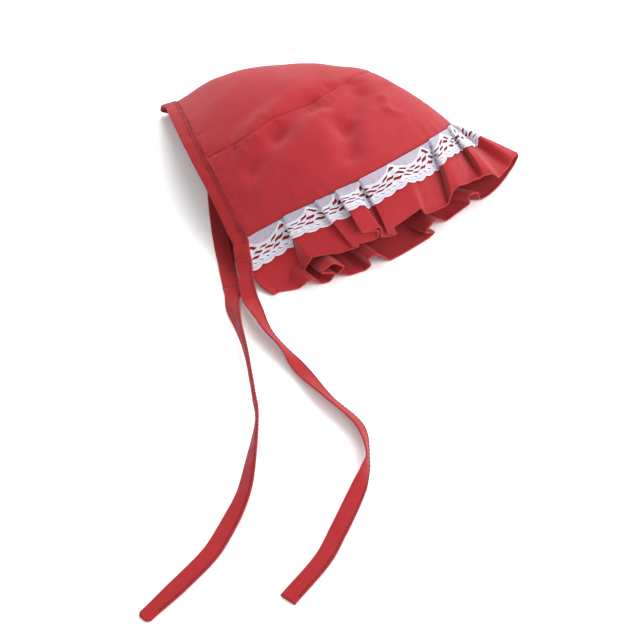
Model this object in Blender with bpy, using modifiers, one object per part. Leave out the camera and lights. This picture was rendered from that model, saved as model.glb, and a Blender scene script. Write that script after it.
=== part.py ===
"""A ruffled sun bonnet for a dog, lying on its left side: three crown panels, a neck band,
a gathered ruffle with a lace trim, and two flat ties.

Metres, +Z up, the floor at z = 0. The face opening looks towards -Y and +X, the neck
opening towards -X. The tables are in millimetres and MM turns them into metres.
"""

import math

import bmesh
import bpy
import numpy as np

MM = 0.001

# Walls and gaps
PANEL_WALL = 1.2
BAND_WALL = 1.8
RUFFLE_WALL = 1.2
LACE_WALL = 1.0
TIE_WALL = 1.6
GAP = 0.3
SEAM_GAP = 0.7
LACE_GAP = 0.4

# The middle of the bonnet's own box, without its ties, is the origin.
MIDDLE = np.array([2.0, 0.1, 0.0])

# The two lower corners of the bonnet, where the ties start, stand one above the other.
# Every crown section turns about the upright line through them.
CORNER_X = -57.0
CORNER_Y = -58.0
CORNER_REACH = 3.5
CORNER_HIGH = 20.0
FLOOR_CORNER_BACK = 2.0

# One row for each crown section, from the neck edge to the front edge. turn is its
# direction in degrees from +X, reach its length to the far fold, crest its height and
# crest_at the crest's share of the reach. fold_high is the height of the far fold's
# outermost point. lean moves the crest forward and bow the floor side.
CROWN_COLUMNS = ("turn", "reach", "crest", "crest_at", "fold_high", "lean", "bow")
CROWN = (
    (110.4, 134.0, 36.0, 0.52, 7.0, 3.0, 14.0),
    (101.0, 138.0, 45.0, 0.50, 13.0, 3.0, 10.0),
    (92.0, 142.0, 52.0, 0.50, 18.0, 4.0, 7.0),
    (80.0, 146.0, 57.0, 0.50, 22.0, 6.0, 5.0),
    (70.0, 151.0, 58.0, 0.50, 24.0, 10.0, 4.0),
    (62.0, 157.0, 57.0, 0.52, 24.0, 14.0, 4.0),
    (56.0, 158.0, 55.0, 0.54, 22.0, 17.0, 5.0),
    (46.0, 159.0, 52.0, 0.54, 20.0, 20.0, 7.0),
    (36.6, 163.0, 49.0, 0.55, 18.0, 23.0, 8.0),
)
NECK_TURN = CROWN[0][0]
FRONT_TURN = CROWN[-1][0]
DOME_FULLNESS = 0.92
LEAN_CURVE = 1.2

# The back crown panel narrows from the neck to a tip. right is its seam's distance from
# the upper corner, along the section, and left the other seam's from the lower corner.
BACK_COLUMNS = ("turn", "right", "left")
BACK_SEAMS = (
    (110.4, 60.0, 60.0),
    (100.0, 62.0, 63.0),
    (85.0, 69.0, 76.0),
    (75.0, 79.0, 100.0),
    (67.0, 101.0, 150.0),
    (63.0, 121.0, 188.0),
    (60.5, 138.0, 205.0),
)
TIP_TURN = BACK_SEAMS[-1][0]
TIP_BLUNT = 0.9

# In front of the tip the side panels meet at the top seam, which runs along the far fold.
TOP_COLUMNS = ("turn", "right")
TOP_SEAM = (
    (60.5, 138.0),
    (58.5, 160.0),
    (55.0, 175.0),
    (46.0, 177.0),
    (36.6, 178.0),
)

# Soft folds across the upper side, from one place to another (turn and distance out).
CREASE_COLUMNS = ("turn_a", "out_a", "turn_b", "out_b", "depth", "width")
CREASES = (
    (86.0, 34.0, 74.0, 62.0, 2.2, 9.0),
    (74.0, 62.0, 62.0, 108.0, 2.0, 9.0),
    (33.0, 86.0, 45.0, 104.0, 2.0, 8.0),
    (45.0, 104.0, 52.0, 134.0, 1.6, 8.0),
)

# Directions of the sections that carry mesh points, closer together around the tip.
PANEL_TURNS = (
    110.4, 105.0, 99.0, 93.0, 87.0, 81.0, 76.0, 71.5, 68.0, 65.5, 63.4, 61.4,
    60.5, 59.6, 58.5, 57.0, 55.0, 52.0, 48.5, 44.5, 40.5, 36.6,
)
SIDE_CELLS = 13
SIDE_CROWDING = 1.5
BACK_CELLS = 18

# The neck band lies outside the neck edge and slopes down from it on the upper side.
BAND_WIDTH = 9.5
BAND_SLOPE = 40.0
BAND_PAST_UPPER = 12.0
BAND_PAST_LOWER = 20.0
BAND_CELLS = 46

# The ruffle hangs from the front edge. at is the place along that edge, from the upper
# corner over the far fold to the lower corner. forward and spread carry its free edge
# out of the opening and away from the corners, and edge_high is the free edge's height.
SET_COLUMNS = ("at", "forward", "spread", "edge_high")
RUFFLE_SET = (
    (0.0, 33.0, -4.0, 5.0),
    (30.0, 23.0, -3.0, 14.0),
    (55.0, 22.5, -2.0, 19.0),
    (80.0, 22.0, 0.0, 20.0),
    (104.0, 23.0, 6.0, 22.0),
    (138.0, 26.0, 6.0, 22.0),
    (162.0, 36.0, 9.0, 19.0),
    (178.0, 33.0, 28.0, 10.0),
    (188.0, 36.0, 28.0, 4.0),
    (198.0, 39.0, 27.0, 0.5),
    (222.0, 41.0, 22.0, 0.0),
    (245.0, 42.0, 14.0, 0.0),
    (290.0, 41.0, 3.0, 0.0),
    (325.0, 33.0, 0.0, 0.0),
    (346.0, 27.0, 1.0, 0.0),
)
RUFFLE_BULGE = 3.0
SEAM_LIFT = LACE_WALL + LACE_GAP + 0.3

# One row for each fold of the ruffle's free edge, on the same scale as at above. start
# and end are the shoulders of its crest, rise their height, tuck how far its feet draw
# in below them, and dip how far the feet go down.
FOLD_COLUMNS = ("start", "end", "rise", "tuck", "dip")
FOLDS = (
    (27.0, 49.0, 4.5, 4.0, 3.5),
    (57.0, 73.0, 5.0, 3.5, 4.0),
    (80.0, 112.0, 5.5, 4.0, 4.5),
    (120.0, 151.0, 6.5, 3.0, 5.0),
    (158.0, 169.0, 2.5, 0.5, 2.0),
    (206.0, 214.0, 8.5, 0.5, 0.0),
    (226.0, 238.0, 6.5, 2.0, 0.0),
    (252.0, 264.0, 5.5, 2.0, 0.0),
    (279.0, 291.0, 6.5, 2.5, 0.0),
    (306.0, 318.0, 3.5, 1.5, 0.0),
)
RUFFLE_ROWS = 3
RUFFLE_LEVELS_UNDER_LACE = (0.55, 0.80, 1.0)

# The lace covers the top of the ruffle and follows its folds.
LACE_DEPTH = 0.47
LACE_START = 0.015
LACE_REPEATS = 56
LACE_LEVELS = (0.0, 0.36, 0.55, 0.61, 0.80, 1.0)
LACE_CUT_ROWS = (1, 3)
SCALLOP = 0.05

# Ties, one row for each turn of the route: x and y of the middle line, the height of its
# lowest edge, and its roll in degrees. The first row's place is set by the band's end.
TIE_WIDTH = 10.0
TIE_CELLS = 54
TIE_RIGHT = (
    (-57.2, -68.0, 9.5, 40.0),
    (-52.0, -85.0, 8.0, 12.0),
    (-45.0, -101.0, 5.0, -14.0),
    (-38.5, -114.0, 1.6, -32.0),
    (-29.2, -126.5, 0.4, -50.0),
    (-20.4, -139.6, 0.4, -14.0),
    (-5.2, -160.2, 0.4, -46.0),
    (11.9, -179.6, 0.4, -48.0),
    (16.4, -201.2, 0.4, -70.0),
    (9.8, -224.8, 0.4, -32.0),
    (-0.7, -248.2, 0.4, -6.0),
    (-9.2, -265.4, 0.4, 0.0),
    (-26.6, -288.7, 0.4, 0.0),
)
TIE_LEFT = (
    (-63.0, -77.5, 0.4, 0.0),
    (-60.5, -92.0, 0.4, 30.0),
    (-57.2, -111.6, 0.4, 66.0),
    (-52.4, -131.6, 0.4, 76.0),
    (-47.7, -160.2, 0.4, 76.0),
    (-45.6, -177.6, 0.4, 72.0),
    (-48.6, -208.5, 0.4, 44.0),
    (-51.4, -224.8, 0.4, 28.0),
    (-57.3, -240.7, 0.4, 8.0),
    (-66.6, -259.9, 0.4, 0.0),
    (-79.3, -276.2, 0.4, 0.0),
    (-99.9, -299.7, 0.4, 0.0),
)

# Looks: colour, roughness
RED_CLOTH = ((0.46, 0.045, 0.05), 0.85)
DARK_RED_CLOTH = ((0.38, 0.03, 0.038), 0.85)
WHITE_LACE = ((0.78, 0.75, 0.82), 0.7)


def column(table, names, name, at):
    """A column of a table at any place in its first column, smooth and without overshoot."""
    rows = np.array(sorted(table), float)
    xs = rows[:, 0]
    ys = rows[:, names.index(name)]
    step = np.diff(xs)
    slope = np.diff(ys) / step
    tangent = np.zeros(len(xs))
    same = slope[:-1] * slope[1:] > 0.0
    mean = 2.0 * slope[:-1] * slope[1:] / np.where(same, slope[:-1] + slope[1:], 1.0)
    tangent[1:-1] = np.where(same, mean, 0.0)
    tangent[0] = slope[0]
    tangent[-1] = slope[-1]
    at = np.clip(np.asarray(at, float), xs[0], xs[-1])
    i = np.clip(np.searchsorted(xs, at) - 1, 0, len(xs) - 2)
    s = (at - xs[i]) / step[i]
    rise = (3.0 - 2.0 * s) * s * s
    bend = step[i] * s * (1.0 - s) * (tangent[i] * (1.0 - s) - tangent[i + 1] * s)
    return ys[i] * (1.0 - rise) + ys[i + 1] * rise + bend


def unit(vectors):
    return vectors / np.linalg.norm(vectors, axis=-1, keepdims=True)


def smooth_step(low, high, at):
    s = np.clip((at - low) / (high - low), 0.0, 1.0)
    return s * s * (3.0 - 2.0 * s)


def lengths_along(points):
    steps = np.linalg.norm(np.diff(points, axis=0), axis=1)
    return np.concatenate([[0.0], np.cumsum(steps)])


def points_at(points, marks, at):
    return np.stack([np.interp(at, marks, points[:, k]) for k in range(3)], axis=-1)


def outward(turn):
    return np.array([math.cos(math.radians(turn)), math.sin(math.radians(turn))])


def forward(turn):
    return np.array([math.sin(math.radians(turn)), -math.cos(math.radians(turn))])


def crease_depth(places):
    """How far the creases press the upper side down at these x, y, z places."""
    corner = np.array([CORNER_X, CORNER_Y])
    depth = np.zeros(len(places))
    for row in CREASES:
        crease = dict(zip(CREASE_COLUMNS, row))
        a = corner + crease["out_a"] * outward(crease["turn_a"])
        b = corner + crease["out_b"] * outward(crease["turn_b"])
        run = b - a
        share = np.clip((places[:, :2] - a) @ run / (run @ run), 0.0, 1.0)
        away = np.linalg.norm(places[:, :2] - a - share[:, None] * run, axis=1)
        depth += crease["depth"] * np.exp(-((away / crease["width"]) ** 2))
    return depth * smooth_step(22.0, 34.0, places[:, 2])


SECTIONS = {}


def section(turn):
    """The outer line of one crown section, from the upper corner over the crest and the
    far fold to the lower corner: its points and their distance along it."""
    if turn in SECTIONS:
        return SECTIONS[turn]
    row = {name: float(column(CROWN, CROWN_COLUMNS, name, turn)) for name in CROWN_COLUMNS}
    reach = row["reach"]
    crest = row["crest"]
    high = row["fold_high"]
    crest_out = reach * row["crest_at"]
    share = np.linspace(0.0, 1.0, 60)
    angle = share[1:] * math.pi / 2.0
    out = [CORNER_REACH + (crest_out - CORNER_REACH) * share]
    up = [CORNER_HIGH + (crest - CORNER_HIGH) * np.sin(share * math.pi / 2.0)]
    out.append(crest_out + (reach - crest_out) * np.sin(angle) ** DOME_FULLNESS)
    up.append(high + (crest - high) * np.clip(np.cos(angle), 0.0, 1.0) ** DOME_FULLNESS)
    out.append(reach - high * (1.0 - np.cos(angle)))
    up.append(high * (1.0 - np.sin(angle)))
    out.append(reach - high + (CORNER_REACH - reach + high) * share[1:])
    up.append(np.zeros(len(share) - 1))
    out = np.concatenate(out)
    up = np.concatenate(up)
    upper = np.arange(len(out)) < 2 * len(share)
    back = FLOOR_CORNER_BACK * np.clip(1.0 - out / (0.7 * reach), 0.0, 1.0) ** 2
    shift = np.where(
        upper,
        row["lean"] * np.clip((up - CORNER_HIGH) / (crest - CORNER_HIGH), 0.0, 1.0) ** LEAN_CURVE,
        (row["bow"] * np.sin(math.pi * np.clip(out / reach, 0.0, 1.0)) - back) * (up < high),
    )
    flat = np.array([CORNER_X, CORNER_Y])
    flat = flat + out[:, None] * outward(turn) + shift[:, None] * forward(turn)
    places = np.concatenate([flat, up[:, None]], axis=1)
    places[:, 2] -= crease_depth(places)
    SECTIONS[turn] = (places, lengths_along(places))
    return SECTIONS[turn]


def crown_points(turn, at):
    places, marks = section(turn)
    return points_at(places, marks, at)


def section_length(turn):
    return section(turn)[1][-1]


def right_seam(turn):
    if turn >= TIP_TURN:
        return float(column(BACK_SEAMS, BACK_COLUMNS, "right", turn))
    return float(column(TOP_SEAM, TOP_COLUMNS, "right", turn))


def left_seam(turn):
    if turn >= TIP_TURN:
        return section_length(turn) - float(column(BACK_SEAMS, BACK_COLUMNS, "left", turn))
    return right_seam(turn)


def half_gap(seam, turn):
    """Half the gap beside a seam, measured along the section that crosses it aslant."""
    step = 0.4
    before = max(turn - step, FRONT_TURN)
    after = min(turn + step, NECK_TURN)
    a = crown_points(before, seam(before))
    b = crown_points(after, seam(after))
    along = crown_points(turn, seam(turn) + 1.0) - crown_points(turn, seam(turn) - 1.0)
    cosine = abs(unit(b - a) @ unit(along))
    return 0.5 * SEAM_GAP / max(math.sqrt(1.0 - cosine * cosine), 0.1)


def clear_scene():
    for thing in list(bpy.data.objects):
        bpy.data.objects.remove(thing)


def cloth_material(name, looks):
    material = bpy.data.materials.new(name)
    material.use_nodes = True
    shader = material.node_tree.nodes["Principled BSDF"]
    shader.inputs["Base Color"].default_value = (*looks[0], 1.0)
    shader.inputs["Roughness"].default_value = looks[1]
    shader.inputs["Metallic"].default_value = 0.0
    material.diffuse_color = (*looks[0], 1.0)
    return material


def cloth_sheet(name, points, wall, material, collection, side=-1.0, is_cut=None):
    """A cloth piece: a grid laid over rows of points and thickened to its inner side (-1)
    or outer side (1). is_cut says for a cell's column and row whether the cell is open."""
    columns = points.shape[0] - 1
    rows = points.shape[1] - 1
    mesh = bpy.data.meshes.new(name)
    shape = bmesh.new()
    bmesh.ops.create_grid(shape, x_segments=columns, y_segments=rows, size=1.0)
    for vert in shape.verts:
        i = round((vert.co.x + 1.0) / 2.0 * columns)
        j = round((vert.co.y + 1.0) / 2.0 * rows)
        vert.co = (points[i, j] - MIDDLE) * MM
    if is_cut:
        shape.faces.ensure_lookup_table()
        cell = {}
        shape.verts.index_update()
        for face in shape.faces:
            cell[face] = min(vert.index for vert in face.verts)
        opened = [
            face
            for face, first in cell.items()
            if is_cut(first % (columns + 1), first // (columns + 1))
        ]
        bmesh.ops.delete(shape, geom=opened, context="FACES")
    shape.to_mesh(mesh)
    shape.free()
    mesh.materials.append(material)
    piece = bpy.data.objects.new(name, mesh)
    collection.objects.link(piece)
    thick = piece.modifiers.new("wall", "SOLIDIFY")
    thick.thickness = wall * MM
    thick.offset = side
    thick.use_even_offset = False
    mesh.shade_smooth()
    return piece


def crowded(start, seam):
    """Places from one end of a side panel's section to its seam, closer by the seam."""
    share = 1.0 - (1.0 - np.linspace(0.0, 1.0, SIDE_CELLS + 1)) ** SIDE_CROWDING
    return start + (seam - start) * share


def side_panel_right(material, collection):
    """The upper side of the crown."""
    grid = []
    for turn in PANEL_TURNS:
        end = right_seam(turn) - half_gap(right_seam, turn)
        grid.append(crown_points(turn, crowded(0.0, end)))
    return cloth_sheet("side_panel_right", np.array(grid), PANEL_WALL, material, collection)


def side_panel_left(material, collection):
    """The side that lies on the floor, with the far fold in front of the tip."""
    grid = []
    for turn in PANEL_TURNS:
        start = left_seam(turn) + half_gap(left_seam, turn)
        grid.append(crown_points(turn, crowded(section_length(turn), start)[::-1]))
    return cloth_sheet("side_panel_left", np.array(grid), PANEL_WALL, material, collection)


def back_panel(material, collection):
    """The back of the crown, between the two side panels."""
    turns = [turn for turn in PANEL_TURNS if turn >= TIP_TURN + TIP_BLUNT]
    grid = []
    for turn in turns:
        start = right_seam(turn) + half_gap(right_seam, turn)
        end = left_seam(turn) - half_gap(left_seam, turn)
        grid.append(crown_points(turn, np.linspace(start, end, BACK_CELLS + 1)))
    return cloth_sheet("back_panel", np.array(grid), PANEL_WALL, material, collection)


def band_edges():
    """The band's inner edge, beside the neck edge, and its outer edge."""
    total = section_length(NECK_TURN)
    at = np.linspace(-BAND_PAST_UPPER, total + BAND_PAST_LOWER, BAND_CELLS + 1)
    inner = crown_points(NECK_TURN, np.clip(at, 0.0, total))
    places, _ = section(NECK_TURN)
    upper_end = unit(places[0] - places[6])
    lower_end = unit(places[-1] - places[-6])
    inner += np.outer(np.clip(-at, 0.0, None), upper_end)
    inner += np.outer(np.clip(at - total, 0.0, None), lower_end)
    away = -forward(NECK_TURN)
    fold = float(column(CROWN, CROWN_COLUMNS, "fold_high", NECK_TURN))
    slope = np.radians(BAND_SLOPE) * smooth_step(0.4 * fold, 1.8 * fold, inner[:, 2])
    across = np.stack([away[0] * np.cos(slope), away[1] * np.cos(slope), -np.sin(slope)], -1)
    inner += (1.3 * GAP + 0.5 * BAND_WALL * np.sin(slope))[:, None] * across
    return inner, inner + BAND_WIDTH * across


def neck_band(material, collection):
    """The folded binding along the neck edge, from tie to tie."""
    inner, outer = band_edges()
    grid = np.stack([inner, 0.5 * (outer + inner), outer], axis=1)
    return cloth_sheet("neck_band", grid, BAND_WALL, material, collection)


def ruffle_set(name, at):
    """A column of the ruffle's table at places along the front edge."""
    scale = RUFFLE_SET[-1][0] / section_length(FRONT_TURN)
    return column(RUFFLE_SET, SET_COLUMNS, name, at * scale)


def front_points(at):
    """The ruffle's seam, raised on the floor side by the lace. Where the ruffle hangs
    steeply it stands off the front edge by its own wall as well as by the gap."""
    total = section_length(FRONT_TURN)
    places = crown_points(FRONT_TURN, np.clip(at, 0.0, total))
    places[:, 2] += SEAM_LIFT * smooth_step(0.53 * total, 0.6 * total, at)
    drop = np.clip(places[:, 2] - ruffle_set("edge_high", at), 0.0, None)
    steep = drop / np.hypot(drop, ruffle_set("forward", at))
    stand_off = GAP + RUFFLE_WALL * steep
    places[:, :2] += stand_off[:, None] * forward(FRONT_TURN)
    return places


def plain_edge(at):
    """The ruffle's free edge without its folds."""
    row = {name: ruffle_set(name, at) for name in SET_COLUMNS}
    places = front_points(at)
    flat = row["forward"][:, None] * forward(FRONT_TURN)
    flat = flat + row["spread"][:, None] * outward(FRONT_TURN)
    places[:, :2] += flat
    places[:, 2] = row["edge_high"]
    return places


def lift_directions(at):
    """Which way a fold rises: square to the ruffle on the upper side, up on the floor."""
    step = 1.0
    along = unit(plain_edge(at + step) - plain_edge(at - step))
    down = unit(plain_edge(at) - front_points(at))
    square = unit(np.cross(down, along))
    on_floor = smooth_step(0.42, 0.56, at / section_length(FRONT_TURN))[:, None]
    return unit(square * (1.0 - on_floor) + np.array([0.0, 0.0, 1.0]) * on_floor)


def fold_path():
    """The free edge as a path in place along it and height above it, with the place on
    the seam that each point of the path hangs from."""
    total = section_length(FRONT_TURN)
    knots = [(0.0, 0.0, 0.0)]
    middles = []
    for row in FOLDS:
        fold = dict(zip(FOLD_COLUMNS, row))
        start = fold["start"]
        end = fold["end"]
        tuck = fold["tuck"]
        middle = 0.5 * (start + end)
        middles.append(middle)
        knots.append((start + tuck, -fold["dip"], None))
        knots.append((start, fold["rise"] * 0.75, None))
        knots.append((middle, fold["rise"], middle))
        knots.append((end, fold["rise"] * 0.75, None))
        knots.append((end - tuck, -fold["dip"], None))
    knots.append((total, 0.0, total))
    path = np.array([(along, lift) for along, lift, _ in knots], float)
    smooth = rounded_path(path, 12)
    marks = np.concatenate([[0.0], np.cumsum(np.linalg.norm(np.diff(smooth, axis=0), axis=1))])
    anchors = [(marks[12 * k], root) for k, (_, _, root) in enumerate(knots) if root is not None]
    anchor_marks, anchor_roots = zip(*anchors)
    return smooth, marks, np.interp(marks, anchor_marks, anchor_roots)


def rounded_path(points, steps):
    """A smooth line through the points, with the same number of steps between each two."""
    padded = np.concatenate([[2 * points[0] - points[1]], points, [2 * points[-1] - points[-2]]])
    out = []
    for k in range(1, len(padded) - 2):
        before, a, b, after = padded[k - 1 : k + 3]
        for share in np.arange(steps) / steps:
            tangent_a = 0.5 * (b - before)
            tangent_b = 0.5 * (after - a)
            s2 = share * share
            s3 = s2 * share
            place = (2 * s3 - 3 * s2 + 1) * a + (s3 - 2 * s2 + share) * tangent_a
            place = place + (3 * s2 - 2 * s3) * b + (s3 - s2) * tangent_b
            out.append(place)
    out.append(points[-1])
    return np.array(out)


def ruffle_columns(count):
    """Seam points, free edge points and rise directions of evenly spaced ruffle columns."""
    path, marks, roots = fold_path()
    at = np.linspace(0.0, marks[-1], count + 1)
    along = np.interp(at, marks, path[:, 0])
    lift = np.interp(at, marks, path[:, 1])
    root = np.interp(at, marks, roots)
    rises = lift_directions(along)
    edge = plain_edge(along) + lift[:, None] * rises
    edge[:, 2] = np.maximum(edge[:, 2], 0.0)
    return front_points(root), edge, lift_directions(root), root


def floor_lift(level):
    """The height of the ruffle over the floor, which its lace holds up near the seam."""
    return SEAM_LIFT * (1.0 - smooth_step(LACE_DEPTH * 1.1, 1.0, level))


def ruffle_grid(count, levels):
    """Points of the ruffle's outer side for these shares of its depth."""
    top, edge, rises, root = ruffle_columns(count)
    total = section_length(FRONT_TURN)
    bulge = RUFFLE_BULGE * (1.0 - smooth_step(0.4, 0.55, root / total))
    rows = []
    for level in levels:
        level = np.broadcast_to(level, (count + 1,))[:, None]
        row = top + (edge - top) * level
        row = row + (bulge[:, None] * np.sin(math.pi * level)) * rises
        row[:, 2] = np.maximum(row[:, 2], floor_lift(level[:, 0]))
        rows.append(row)
    return np.stack(rows, axis=1)


def ruffle(material, collection):
    """The gathered ruffle around the face opening. Under the lace its rows are the lace's."""
    covered = lace_levels(np.array(RUFFLE_LEVELS_UNDER_LACE))
    levels = [0.0, *covered, *np.linspace(LACE_DEPTH, 1.0, RUFFLE_ROWS + 1)[1:]]
    grid = ruffle_grid(2 * LACE_REPEATS, levels)[:, ::-1]
    return cloth_sheet("ruffle", grid, RUFFLE_WALL, material, collection)


def lace_levels(level):
    """Shares of the lace's depth turned into shares of the ruffle's."""
    return LACE_START + (LACE_DEPTH - LACE_START) * level


def lace_trim(material, collection):
    """The pierced lace on top of the ruffle, with a scalloped lower edge."""
    count = 2 * LACE_REPEATS
    wave = SCALLOP * np.abs(np.sin(math.pi * (np.arange(count + 1) + 1.0) / 2.0))
    levels = []
    for level in LACE_LEVELS:
        levels.append(lace_levels(level * (1.0 + wave * level)))
    grid = ruffle_grid(count, levels)
    normals = np.cross(np.gradient(grid, axis=1), np.gradient(grid, axis=0))
    grid = grid + LACE_GAP * unit(normals)

    def is_cut(i, j):
        row = len(LACE_LEVELS) - 2 - j
        upper_gap = row == LACE_CUT_ROWS[0] and i % 2 == 1
        lower_gap = row == LACE_CUT_ROWS[1] and i % 2 == 0
        return (upper_gap or lower_gap) and 0 < i < count - 1

    grid = grid[:, ::-1]
    return cloth_sheet("lace_trim", grid, LACE_WALL, material, collection, 1.0, is_cut)


def tie(name, table, end, material, collection):
    """A flat tie from one end of the neck band (0 upper, -1 lower) along its route, rolled
    about its middle line as the table says."""
    rows = np.array(table, float)
    inner, outer = band_edges()
    middle = 0.5 * (inner + outer)
    past = unit(middle[end] - middle[1 if end == 0 else -2])
    rows[0, :2] = (middle[end] + 2.5 * GAP * past)[:2]
    if end == 0:
        rows[0, 2] = outer[end, 2] - TIE_WALL
    smooth = rounded_path(rows, 10)
    marks = lengths_along(smooth[:, :3])
    at = np.linspace(0.0, marks[-1], TIE_CELLS + 1)
    x, y, high, roll = (np.interp(at, marks, smooth[:, k]) for k in range(4))
    roll = np.radians(roll)
    middle = np.stack([x, y, high + 0.5 * TIE_WIDTH * np.abs(np.sin(roll)) + TIE_WALL], -1)
    heading = unit(np.gradient(middle, axis=0))
    level = unit(np.cross([0.0, 0.0, 1.0], heading))
    square = np.cross(heading, level)
    side = level * np.cos(roll)[:, None] + square * np.sin(roll)[:, None]
    grid = np.stack([middle - 0.5 * TIE_WIDTH * side, middle, middle + 0.5 * TIE_WIDTH * side], 1)
    return cloth_sheet(name, grid, TIE_WALL, material, collection)


def build():
    clear_scene()
    collection = bpy.data.collections.new("dog_sun_bonnet")
    bpy.context.scene.collection.children.link(collection)
    red = cloth_material("red_cotton", RED_CLOTH)
    binding = cloth_material("red_binding", DARK_RED_CLOTH)
    white = cloth_material("white_lace", WHITE_LACE)
    side_panel_right(red, collection)
    side_panel_left(red, collection)
    back_panel(red, collection)
    neck_band(binding, collection)
    ruffle(red, collection)
    lace_trim(white, collection)
    tie("tie_right", TIE_RIGHT, 0, binding, collection)
    tie("tie_left", TIE_LEFT, -1, binding, collection)


build()
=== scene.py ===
"""Looks of the dog sun bonnet: cotton panels with puckered seams, a stitched binding that
runs on into two ties, a gathered ruffle with a rolled hem, and a corded lace trim.

The shapes repeat the part's own tables, in millimetres, at a finer step. MM turns them
into metres and MIDDLE moves them to the frame's origin.
"""

import functools
from math import atan, cos, pi, radians, sin, sqrt
import bpy
import numpy as np
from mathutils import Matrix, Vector, noise


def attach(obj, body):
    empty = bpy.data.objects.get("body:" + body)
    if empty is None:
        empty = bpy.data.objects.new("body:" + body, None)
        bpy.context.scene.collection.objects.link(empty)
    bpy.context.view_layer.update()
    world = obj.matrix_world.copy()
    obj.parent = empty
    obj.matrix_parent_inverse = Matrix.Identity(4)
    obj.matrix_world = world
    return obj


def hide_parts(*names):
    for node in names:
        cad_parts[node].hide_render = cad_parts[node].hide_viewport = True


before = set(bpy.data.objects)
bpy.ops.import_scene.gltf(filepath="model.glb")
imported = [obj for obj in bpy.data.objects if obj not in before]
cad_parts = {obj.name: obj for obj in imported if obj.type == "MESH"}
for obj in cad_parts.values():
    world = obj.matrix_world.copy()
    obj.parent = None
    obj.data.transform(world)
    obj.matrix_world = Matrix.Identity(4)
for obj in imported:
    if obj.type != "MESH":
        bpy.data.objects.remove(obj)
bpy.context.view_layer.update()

MM = 0.001
MIDDLE = np.array([2, 0.1, 0])
UP = np.array([0, 0, 1])

# Cloth as it is: thinner than the frame's walls, on the same outer side
PANEL_CLOTH = 0.7
RUFFLE_CLOTH = 0.6
LACE_CLOTH = 0.35
BAND_THICK = 1.8
TIE_THICK = 1.3

# The camera looks at this floor point from this angle and distance, through a lens this
# many pixels long in a picture this many pixels wide
AIM = (-12, -101.1, 0)
ELEVATION = 50
DISTANCE = 1000
FOCAL_PIXELS = 1719
PICTURE_PIXELS = 640

# The crown, as in the frame: one row for each section, turning about the corners
CORNER = np.array([-57, -58])
CORNER_REACH = 3.5
CORNER_HIGH = 18.5
SECTION_STEPS = 160
HEEL_LONG = 0.5
BOW_CURVE = 2.2
CROWN_COLUMNS = ("turn", "reach", "crest", "crest_at", "fold_high", "lean", "bow", "nook", "heel")
CROWN = (
    (109.6, 142, 36, 0.5, 3.4, -3, 15, 4, 4.9),
    (101, 140.5, 45, 0.5, 11, 1.2, 11.5, 3.4, 4.4),
    (92, 142, 52, 0.5, 18, 4, 7.5, 2.6, 4.5),
    (80, 146, 56, 0.5, 22, 6, 5, 1.8, 3.5),
    (70, 151, 57, 0.5, 24, 10, 4.5, 1, 3),
    (62, 157, 56.5, 0.52, 24, 14, 6, 0.4, 2.5),
    (56, 158, 55, 0.54, 22, 17, 8, 0, 2.5),
    (46, 159, 52, 0.54, 20, 21, 11, -0.6, 2),
    (38, 161, 49, 0.55, 18, 25, 14, -1.2, 2),
)
NECK_TURN = CROWN[0][0]
FRONT_TURN = CROWN[-1][0]
DOME_FULLNESS = 0.92
NECK_FULLNESS = 1.2
NECK_FULLNESS_FROM = 98
NOOK_LONG = 0.6
NOOK_UNDER = 1.9
NOOK_UNDER_FROM = 0.55
LEAN_CURVE = 1.2

# Places of the seams on the sections, from the upper and the lower corner
SEAM_COLUMNS = ("turn", "right", "left")
BACK_SEAMS = (
    (110.4, 57.5, 60),
    (99.5, 58.5, 61),
    (87.5, 67, 68),
    (78.5, 79, 80),
    (72.5, 92, 93),
    (68.4, 108, 109),
    (64.4, 129, 130),
    (61.8, 152, 152),
    (60.2, 169, 171),
)
TIP_TURN = BACK_SEAMS[-1][0]
TIP_BLUNT = 0.03
TIP_JOIN = 6
TOP_SEAM = ((60.2, 169), (57, 173), (46, 176), (38, 177))

# Soft folds across the upper side: turn and distance out of both ends, depth (raised if
# negative) and width. They fade out between the two heights.
CREASES = (
    (84, 18, 79.8, 40, 3.4, 7.5),
    (79.8, 40, 69.6, 62, 4.4, 8),
    (69.6, 62, 63.5, 92, 3.8, 7.5),
    (34, 78, 45.6, 88.5, 4.4, 7.5),
    (45.6, 88.5, 52.8, 117.8, 3.6, 7.5),
    (61.2, 88, 61.6, 110, 2.2, 4.5),
    (57, 96, 58, 122, 2.2, 4.5),
    (86, 30, 73, 104, -2, 10),
)
CREASES_ABOVE = (22, 34)

# Smaller creases that only the cloth has
FINE_CREASES = (
    (52.5, 146, 47.2, 126, -1.1, 3.2),
    (47.2, 126, 42.6, 119.5, -1, 3),
    (42.6, 119.5, 39.6, 124.5, -0.8, 3),
    (50.5, 138, 46, 118, 0.9, 4.5),
    (55.8, 126, 49.2, 103, 1.2, 5),
    (98, 30, 97, 52, 0.8, 5),
    (92, 70, 78, 88, 0.9, 6),
)

# The panels. The grid is finer beside their edges and close to the tip.
PANEL_STEPS = 120
EDGE_CROWDING = 0.16
TIP_CLOSE = (-1, 9, 101)
NARROWEST = 0.05
SEAM_GAP = 0.12
SEAM_DIP = 0.5
SEAM_DIP_WIDE = 1.3
SEAM_CALM = 3
SEAM_EDGE_WIDE = 3.4
SEAM_EDGE_THICK = 0.3
SEAM_EDGE_DEPTHS = (0.95, 1.35, 1.75)

# Ripples beside an edge: height, lengths along it and away from it, and the distance of
# their fade. Waves all over have a height and a length.
PUCKER = (1.2, 3.6, 14, 6)
PUCKER_FROM_TIP = (40, 60)
NECK_GATHER = (0.35, 3.6, 16, 5)
FRONT_GATHER = (0.7, 4.2, 22, 7)
FRONT_DIP = 0.5
FRONT_DIP_WIDE = 0.9
BROAD_WAVE = (0.7, 24)
FINE_WAVE = (0.22, 9)
WAVES_ABOVE = (4, 14)

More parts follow.
